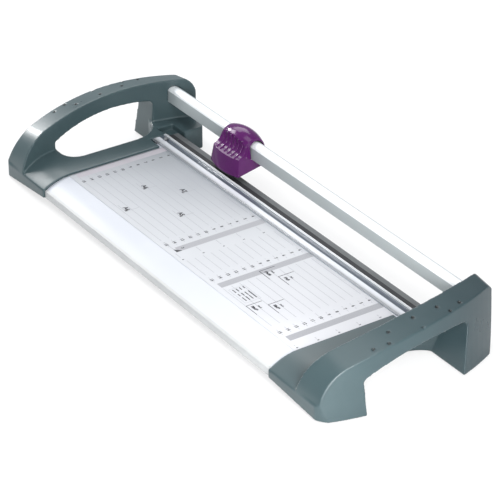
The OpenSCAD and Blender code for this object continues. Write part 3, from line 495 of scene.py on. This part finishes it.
# shares: place of each stud along the handle's reach and depth, as for the dimples of the end caps
studValues = dict(piece="handleDimpleShades", radius=0.0019, rim=0.0005, innerRim=0.6, deep=0.0005, dish=0.25,
                  sides=20, lift=0.00015, beside=0.0025, rayTop=0.2, half=0.21925, reach=0.106,
                  depth=0.1901, middle=0.07605,
                  shares=[(0.791, -0.66), (0.827, -0.578), (0.711, -0.535), (0.693, -0.374), (0.853, -0.374),
                          (0.695, -0.221), (0.802, -0.18), (0.74, -0.094)])


def makeStud(values):
    # a shallow cup: a disc whose middle is pressed in
    bpy.ops.mesh.primitive_circle_add(vertices=values["sides"], radius=values["radius"], fill_type="NGON",
                                      location=(0, 0, 0))
    stud = bpy.context.object
    bpy.ops.object.mode_set(mode="EDIT")
    bpy.ops.mesh.select_all(action="SELECT")
    bpy.ops.mesh.inset(thickness=values["rim"])
    bpy.ops.transform.translate(value=(0, 0, -values["deep"] * values["dish"]))
    bpy.ops.mesh.inset(thickness=values["rim"] * values["innerRim"])
    bpy.ops.transform.translate(value=(0, 0, -values["deep"]))
    bpy.ops.object.mode_set(mode="OBJECT")
    return stud


def findSurface(shell, x, y, values):
    # the shell's height and slope round a place, from four rays straight down beside it
    reach, top = values["beside"], values["rayTop"]
    found = [shell.ray_cast(Vector((x + dx * reach, y + dy * reach, top)), Vector((0, 0, -1)))
             for dx, dy in ((1, 0), (-1, 0), (0, 1), (0, -1))]
    if not all(hit[0] for hit in found):
        return None
    east, west, north, south = (hit[1] for hit in found)
    return (east + west + north + south) / 4, (east - west).cross(north - south).normalized()


def placeStuds(values):
    stud = makeStud(values)
    copies = []
    bpy.context.view_layer.update()
    for node, side in (("end_cap_left", -1), ("end_cap_right", 1)):
        for along, back in values["shares"]:
            x = side * (values["half"] + along * values["reach"])
            y = values["middle"] + back * values["depth"]
            found = findSurface(shells[node], x, y, values)
            if found:
                place, normal = found
                turned = normal.to_track_quat("Z", "Y").to_matrix().to_4x4()
                copies.append(copyPiece(stud, Matrix.Translation(place + normal * values["lift"]) @ turned))
    bpy.data.objects.remove(stud)
    joined = joinPieces(copies, values["piece"])
    smoothByAngle(joined, smoothAngles["stud"])
    # near-black colour: painted shade for the dimples
    dress(joined, material["dimpleShade"])
    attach(joined, "base")


placeStuds(studValues)
print("clear strip and studs made")


# coil springs

springValues = {
    "head_spring_left": dict(piece="headSpringLeft", wire=0.0007, body="carriage", joint="head_press"),
    "head_spring_right": dict(piece="headSpringRight", wire=0.0007, body="carriage", joint="head_press"),
    "clamp_spring_left": dict(piece="clampSpringLeft", wire=0.0006, body="base", joint="strip_press"),
    "clamp_spring_right": dict(piece="clampSpringRight", wire=0.0006, body="base", joint="strip_press"),
}
coilValues = dict(turns=5, wireSides=10, stepsPerTurn=26, endSides=12)


def makeSpring(node, values):
    # a ring of wire, screwed up round the middle of the spring
    low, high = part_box(node)
    low, high = Vector(low), Vector(high)
    wire, turns = values["wire"], coilValues["turns"]
    steps = coilValues["stepsPerTurn"] * turns
    outer = (high.x - low.x) / 2
    height = high.z - low.z
    bpy.ops.mesh.primitive_circle_add(vertices=coilValues["wireSides"], radius=wire / 2,
                                      location=(outer - wire / 2, 0, 0), rotation=(math.pi / 2, 0, 0))
    ring = bpy.context.object
    applyPlace(ring)
    addModifier(ring, "SCREW", axis="Z", angle=2 * math.pi * turns, iterations=1,
                screw_offset=height - wire, steps=steps, render_steps=steps, use_merge_vertices=True)
    pickOnly(ring)
    bpy.ops.object.mode_set(mode="EDIT")
    bpy.ops.mesh.select_all(action="SELECT")
    bpy.ops.mesh.fill_holes(sides=coilValues["endSides"])
    bpy.ops.mesh.normals_make_consistent(inside=False)
    bpy.ops.object.mode_set(mode="OBJECT")
    ring.location = ((low.x + high.x) / 2, (low.y + high.y) / 2, low.z + wire / 2)
    applyPlace(ring)
    ring.name = values["piece"]
    smoothByAngle(ring, smoothAngles["spring"])
    dress(ring, material["springSteel"])
    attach(ring, values["body"])
    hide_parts(node)
    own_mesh(ring)


for node, values in springValues.items():
    makeSpring(node, values)
print("springs made")


# printed marks on the table

# heights above the table in millimetres, so that darker print lies on top
printHeight = dict(tone=0.22, line=0.24, ink=0.26)
# thickening of printed words in metres, and how finely their curves are stepped
labelHeavy = dict(plain=0.0002, corner=0.0004)
labelSteps = 2


def addPatch(x0, y0, x1, y1, height):
    # one flat printed patch, given in millimetres along the rulers
    low, high = onTable(x0, y0, height), onTable(x1, y1, height)
    bpy.ops.mesh.primitive_plane_add(size=1, location=(low + high) / 2)
    patch = bpy.context.object
    patch.scale = (high.x - low.x, high.y - low.y, 1)
    applyPlace(patch)
    return patch


def addRow(x0, y0, x1, y1, height, count, step):
    # the same patch repeated along the table's depth
    patch = addPatch(x0, y0, x1, y1, height)
    addModifier(patch, "ARRAY", count=count, use_relative_offset=False, use_constant_offset=True,
                constant_offset_displace=(0, -step / 1000, 0))
    return patch


def addNumber(words, x, y, size, height, heavy=labelHeavy["plain"]):
    bpy.ops.object.text_add(location=(0, 0, 0))
    label = bpy.context.object
    label.data.body = words
    label.data.size = size / 1000
    label.data.align_x = "CENTER"
    label.data.align_y = "CENTER"
    label.data.resolution_u = labelSteps
    label.data.offset = heavy
    pickOnly(label)
    bpy.ops.object.convert(target="MESH")
    label = bpy.context.object
    label.location = onTable(x, y, height)
    applyPlace(label)
    return label


def addCorner(x, y, arm, width, height, side):
    # two arms of a size corner; side -1 opens to the far end, side 1 to the near end
    across = addPatch(min(x, x + side * arm), y, max(x, x + side * arm), y + width, height)
    up = addPatch(x - width / 2, y, x + width / 2, y + arm, height)
    return [across, up]


def addCornerMark(x, y, size, height):
    # small solid triangle in the corner
    bpy.ops.mesh.primitive_circle_add(vertices=3, radius=size / 1000, fill_type="NGON", location=(0, 0, 0))
    mark = bpy.context.object
    for vertex, place in zip(mark.data.vertices, ((0, 0), (-size, 0), (0, size))):
        vertex.co = onTable(x + place[0], y + place[1], height)
    pickOnly(mark)
    bpy.ops.object.mode_set(mode="EDIT")
    bpy.ops.mesh.select_all(action="SELECT")
    bpy.ops.mesh.normals_make_consistent(inside=False)
    bpy.ops.object.mode_set(mode="OBJECT")
    return mark


# all places and sizes below are millimetres along the rulers
rulerValues = dict(first=-40, firstNumber=4, step=10, count=12, lineWidth=0.45, labelSize=5.0,
                   tick=0.2, gap=3.2, longNumber=10, longReach=10)
inchValues = dict(inch=25.4, shift=0.6, first=2, last=6, tick=0.25, labelSize=3.0)
cornerValues = dict(arm=17, line=0.5, mark=3.2, left=4.8, up=4.0, labelSize=6.8)
photoValues = dict(arm=19.5, line=0.75, labels=[(8.2, 5.2, 3.9, "corner"), (8.6, 11.0, 2.4, "plain")])
# bars: start, length in the first row, and growth from row to row
tableBox = dict(x0=304, y0=-147, x1=335, y1=-128, edge=0.3, rows=4, firstRow=3, rowStep=4.2, barDepth=1.2,
                bars=[(2, 7, -1), (12, 5, 1), (20, 8, 0)])
marginPatch = (1.0, -150, 10.5, -33)
bandMark = dict(x=209.5, y=-149.0, size=7.2)
foreNumber = dict(words="3", x=205.0, y=-139.0, size=4.6)
foreLine = (184, -149.0, 203, -148.4)
bandEnds = [(200, 209.5, -33, -146), (287, 296.5, -33, -150), (410, 419.5, -33, -150)]
lineRuns = [(12, 180), (230, 266), (299, 386)]
labelColumns = [(20.5, 0), (190, 6), (277.5, 6), (400.5, 6)]
inchColumns = [(211, 221, 226), (427.5, 430.5, 433.5)]
sizeCorners = [(104.5, -74.5, "A7"), (73.5, -105, "A6"), (147.5, -105, "A5"), (104.5, -147.5, "A6")]
photoCorners = [(310.5, -90, "13x9"), (290.5, -100, "15x10"), (350.5, -130, "18x13"), (340.5, -150, "20x15")]

rose = [addPatch(*marginPatch, printHeight["tone"])]
tones = [addPatch(x0, y1, x1, y0, printHeight["tone"]) for x0, x1, y0, y1 in bandEnds]
lines = []
for x0, x1 in lineRuns:
    lines.append(addRow(x0, rulerValues["first"], x1, rulerValues["first"] + rulerValues["lineWidth"],
                        printHeight["line"], rulerValues["count"], rulerValues["step"]))
ink = []
tick, gap = rulerValues["tick"], rulerValues["gap"]
for x, tail in labelColumns:
    for step in range(rulerValues["count"]):
        y = rulerValues["first"] - rulerValues["step"] * step
        number = rulerValues["firstNumber"] + step
        ink.append(addNumber(str(number), x, y, rulerValues["labelSize"], printHeight["ink"]))
        if tail:
            reach = rulerValues["longReach"] if number == rulerValues["longNumber"] else tail
            lines.append(addPatch(x - reach, y - tick, x - gap, y + tick, printHeight["line"]))
            lines.append(addPatch(x + gap, y - tick, x + tail, y + tick, printHeight["line"]))
for x0, x1, xLabel in inchColumns:
    for inch in range(inchValues["first"], inchValues["last"] + 1):
        y = -inchValues["inch"] * inch + inchValues["shift"]
        lines.append(addPatch(x0, y - inchValues["tick"], x1, y + inchValues["tick"], printHeight["line"]))
        ink.append(addNumber(str(inch), xLabel, y, inchValues["labelSize"], printHeight["ink"]))
for x, y, words in sizeCorners:
    lines.extend(addCorner(x, y, cornerValues["arm"], cornerValues["line"], printHeight["line"], -1))
    ink.append(addCornerMark(x, y, cornerValues["mark"], printHeight["ink"]))
    ink.append(addNumber(words, x - cornerValues["left"], y + cornerValues["up"], cornerValues["labelSize"],
                         printHeight["ink"], labelHeavy["corner"]))
for x, y, words in photoCorners:
    ink.extend(addCorner(x, y, photoValues["arm"], photoValues["line"], printHeight["ink"], 1))
    for right, up, size, heavy in photoValues["labels"]:
        ink.append(addNumber(words, x + right, y + up, size, printHeight["ink"], labelHeavy[heavy]))
ink.append(addCornerMark(height=printHeight["ink"], **bandMark))

# small outlined table of plain bars: frame from four thin patches, then rows of bars
boxX = (tableBox["x0"], tableBox["x1"])
boxY = (tableBox["y0"], tableBox["y1"])
for u0, v0, u1, v1 in ((0, 0, 1, 0), (0, 1, 1, 1), (0, 0, 0, 1), (1, 0, 1, 1)):
    lines.append(addPatch(boxX[u0], boxY[v0], boxX[u1] + tableBox["edge"], boxY[v1] + tableBox["edge"],
                          printHeight["line"]))
for row in range(tableBox["rows"]):
    y = tableBox["y0"] + tableBox["firstRow"] + tableBox["rowStep"] * row
    for start, length, growth in tableBox["bars"]:
        x = tableBox["x0"] + start
        ink.append(addPatch(x, y, x + length + growth * row, y + tableBox["barDepth"], printHeight["ink"]))
ink.append(addNumber(height=printHeight["ink"], **foreNumber))
lines.append(addPatch(*foreLine, printHeight["ink"]))

printedPieces = [(rose, "printedMargin", "printRose"), (tones, "printedBands", "printGrey"),
                 (lines, "printedLines", "printLine"), (ink, "printedNumbers", "printInk")]
for pieces, name, finishName in printedPieces:
    joined = joinPieces(pieces, name)
    dress(joined, material[finishName])
    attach(joined, "base")
print("printed marks made")


# camera, floor and lights

# place and farthest view in metres, lens and sensor in millimetres, turns in degrees
cameraValues = dict(place=(1.90505, -1.26905, 1.3298), azimuth=56.065, elevation=29.962, roll=-0.078,
                    lens=179.2, sensor=36, farthest=50)


def addCamera(values):
    azimuth, elevation = math.radians(values["azimuth"]), math.radians(values["elevation"])
    right = Vector((math.cos(azimuth), math.sin(azimuth), 0))
    back = Vector((math.sin(azimuth) * math.cos(elevation), -math.cos(azimuth) * math.cos(elevation),
                   math.sin(elevation)))
    up = back.cross(right)
    turned = Matrix((right, up, back)).transposed() @ Matrix.Rotation(math.radians(values["roll"]), 3, "Z")
    bpy.ops.object.camera_add(location=values["place"])
    camera = bpy.context.object
    camera.name = "photoCamera"
    camera.matrix_world = Matrix.Translation(values["place"]) @ turned.to_4x4()
    camera.data.lens = values["lens"]
    camera.data.sensor_width = values["sensor"]
    camera.data.clip_end = values["farthest"]
    scene.camera = camera


addCamera(cameraValues)

# place, aim and size in metres, power in watts
lightValues = {
    "rightSoftbox": dict(place=(1.75, -0.9, 0.5), aim=(0.3, -0.02, 0.02), size=(0.8, 0.5), power=3),
    "cornerSoftbox": dict(place=(0.67, -0.27, 0.2), aim=(0.31, -0.09, 0.03), size=(0.22, 0.18), power=3),
    "keySoftbox": dict(place=(1.0, -0.25, 0.8), aim=(0, 0, 0.03), size=(0.4, 0.4), power=5.5),
    "frontSoftbox": dict(place=(0.1, -1.7, 1.0), aim=(0, 0, 0.03), size=(1.0, 0.5), power=0.8),
    "topSoftbox": dict(place=(0, -0.1, 1.6), aim=(0, 0, 0), size=(1.5, 0.8), power=9.5),
    "farSoftbox": dict(place=(-1.655, -0.06, 0.66), aim=(-0.29, -0.08, 0.05), size=(0.22, 0.2), power=10),
    "deckSoftbox": dict(place=(-1.42, -0.27, 0.95), aim=(-0.25, -0.1, 0.02), size=(0.5, 0.4), power=6),
    "backSoftbox": dict(place=(-1.15, 0.5, 1.0), aim=(0, 0, 0.03), size=(0.9, 0.6), power=6),
}


def addSoftbox(name, values):
    bpy.ops.object.light_add(type="AREA", location=values["place"])
    lamp = bpy.context.object
    lamp.name = name
    lamp.data.shape = "RECTANGLE"
    lamp.data.size, lamp.data.size_y = values["size"]
    lamp.data.energy = values["power"]
    aim = Vector(values["aim"]) - Vector(values["place"])
    lamp.rotation_euler = aim.to_track_quat("-Z", "Y").to_euler()


for name, values in lightValues.items():
    addSoftbox(name, values)

worldValues = dict(light=(0.92, 0.95, 1.0), strength=0.5)
world = bpy.data.worlds.new("paleRoom")
scene.world = world
world.use_nodes = True
worldNodes, worldLinks = world.node_tree.nodes, world.node_tree.links
background = worldNodes["Background"]
background.inputs["Color"].default_value = (*worldValues["light"], 1)
background.inputs["Strength"].default_value = worldValues["strength"]
seen = worldNodes.new("ShaderNodeBackground")
seen.inputs["Color"].default_value = (1, 1, 1, 1)
seen.inputs["Strength"].default_value = 1.0
path = worldNodes.new("ShaderNodeLightPath")
mixed = worldNodes.new("ShaderNodeMixShader")
worldLinks.new(path.outputs["Is Camera Ray"], mixed.inputs["Fac"])
worldLinks.new(background.outputs["Background"], mixed.inputs[1])
worldLinks.new(seen.outputs["Background"], mixed.inputs[2])
worldLinks.new(mixed.outputs["Shader"], worldNodes["World Output"].inputs["Surface"])

# glowShare: how much of the floor shows as plain white to the camera; the rest is lit and keeps the shadow
floorValues = dict(span=14, drop=0.0002, glowShare=0.72, colour=(0.9, 0.9, 0.9),
                   patchColour=(0.89, 0.89, 0.89), rough=(0.6, 0.7), bump=0.02)
bpy.ops.mesh.primitive_plane_add(size=1, location=(0, 0, -floorValues["drop"]))
floor = bpy.context.object
floor.name = "paleFloor"
floor.scale = (floorValues["span"], floorValues["span"], 1)
applyPlace(floor)
floorFinish = makeFinish("floorPaint", floorValues)
dress(floor, floorFinish)
floorNodes, floorLinks = floorFinish.node_tree.nodes, floorFinish.node_tree.links
glow = floorNodes.new("ShaderNodeEmission")
glow.inputs["Color"].default_value = (1, 1, 1, 1)
glow.inputs["Strength"].default_value = 1.0
floorPath = floorNodes.new("ShaderNodeLightPath")
share = floorNodes.new("ShaderNodeMath")
share.operation = "MULTIPLY"
share.inputs[1].default_value = floorValues["glowShare"]
floorMix = floorNodes.new("ShaderNodeMixShader")
floorLinks.new(floorPath.outputs["Is Camera Ray"], share.inputs[0])
floorLinks.new(share.outputs["Value"], floorMix.inputs["Fac"])
floorLinks.new(floorNodes["Principled BSDF"].outputs["BSDF"], floorMix.inputs[1])
floorLinks.new(glow.outputs["Emission"], floorMix.inputs[2])
floorLinks.new(floorMix.outputs["Shader"], floorNodes["Material Output"].inputs["Surface"])
print("camera, lights and floor made")
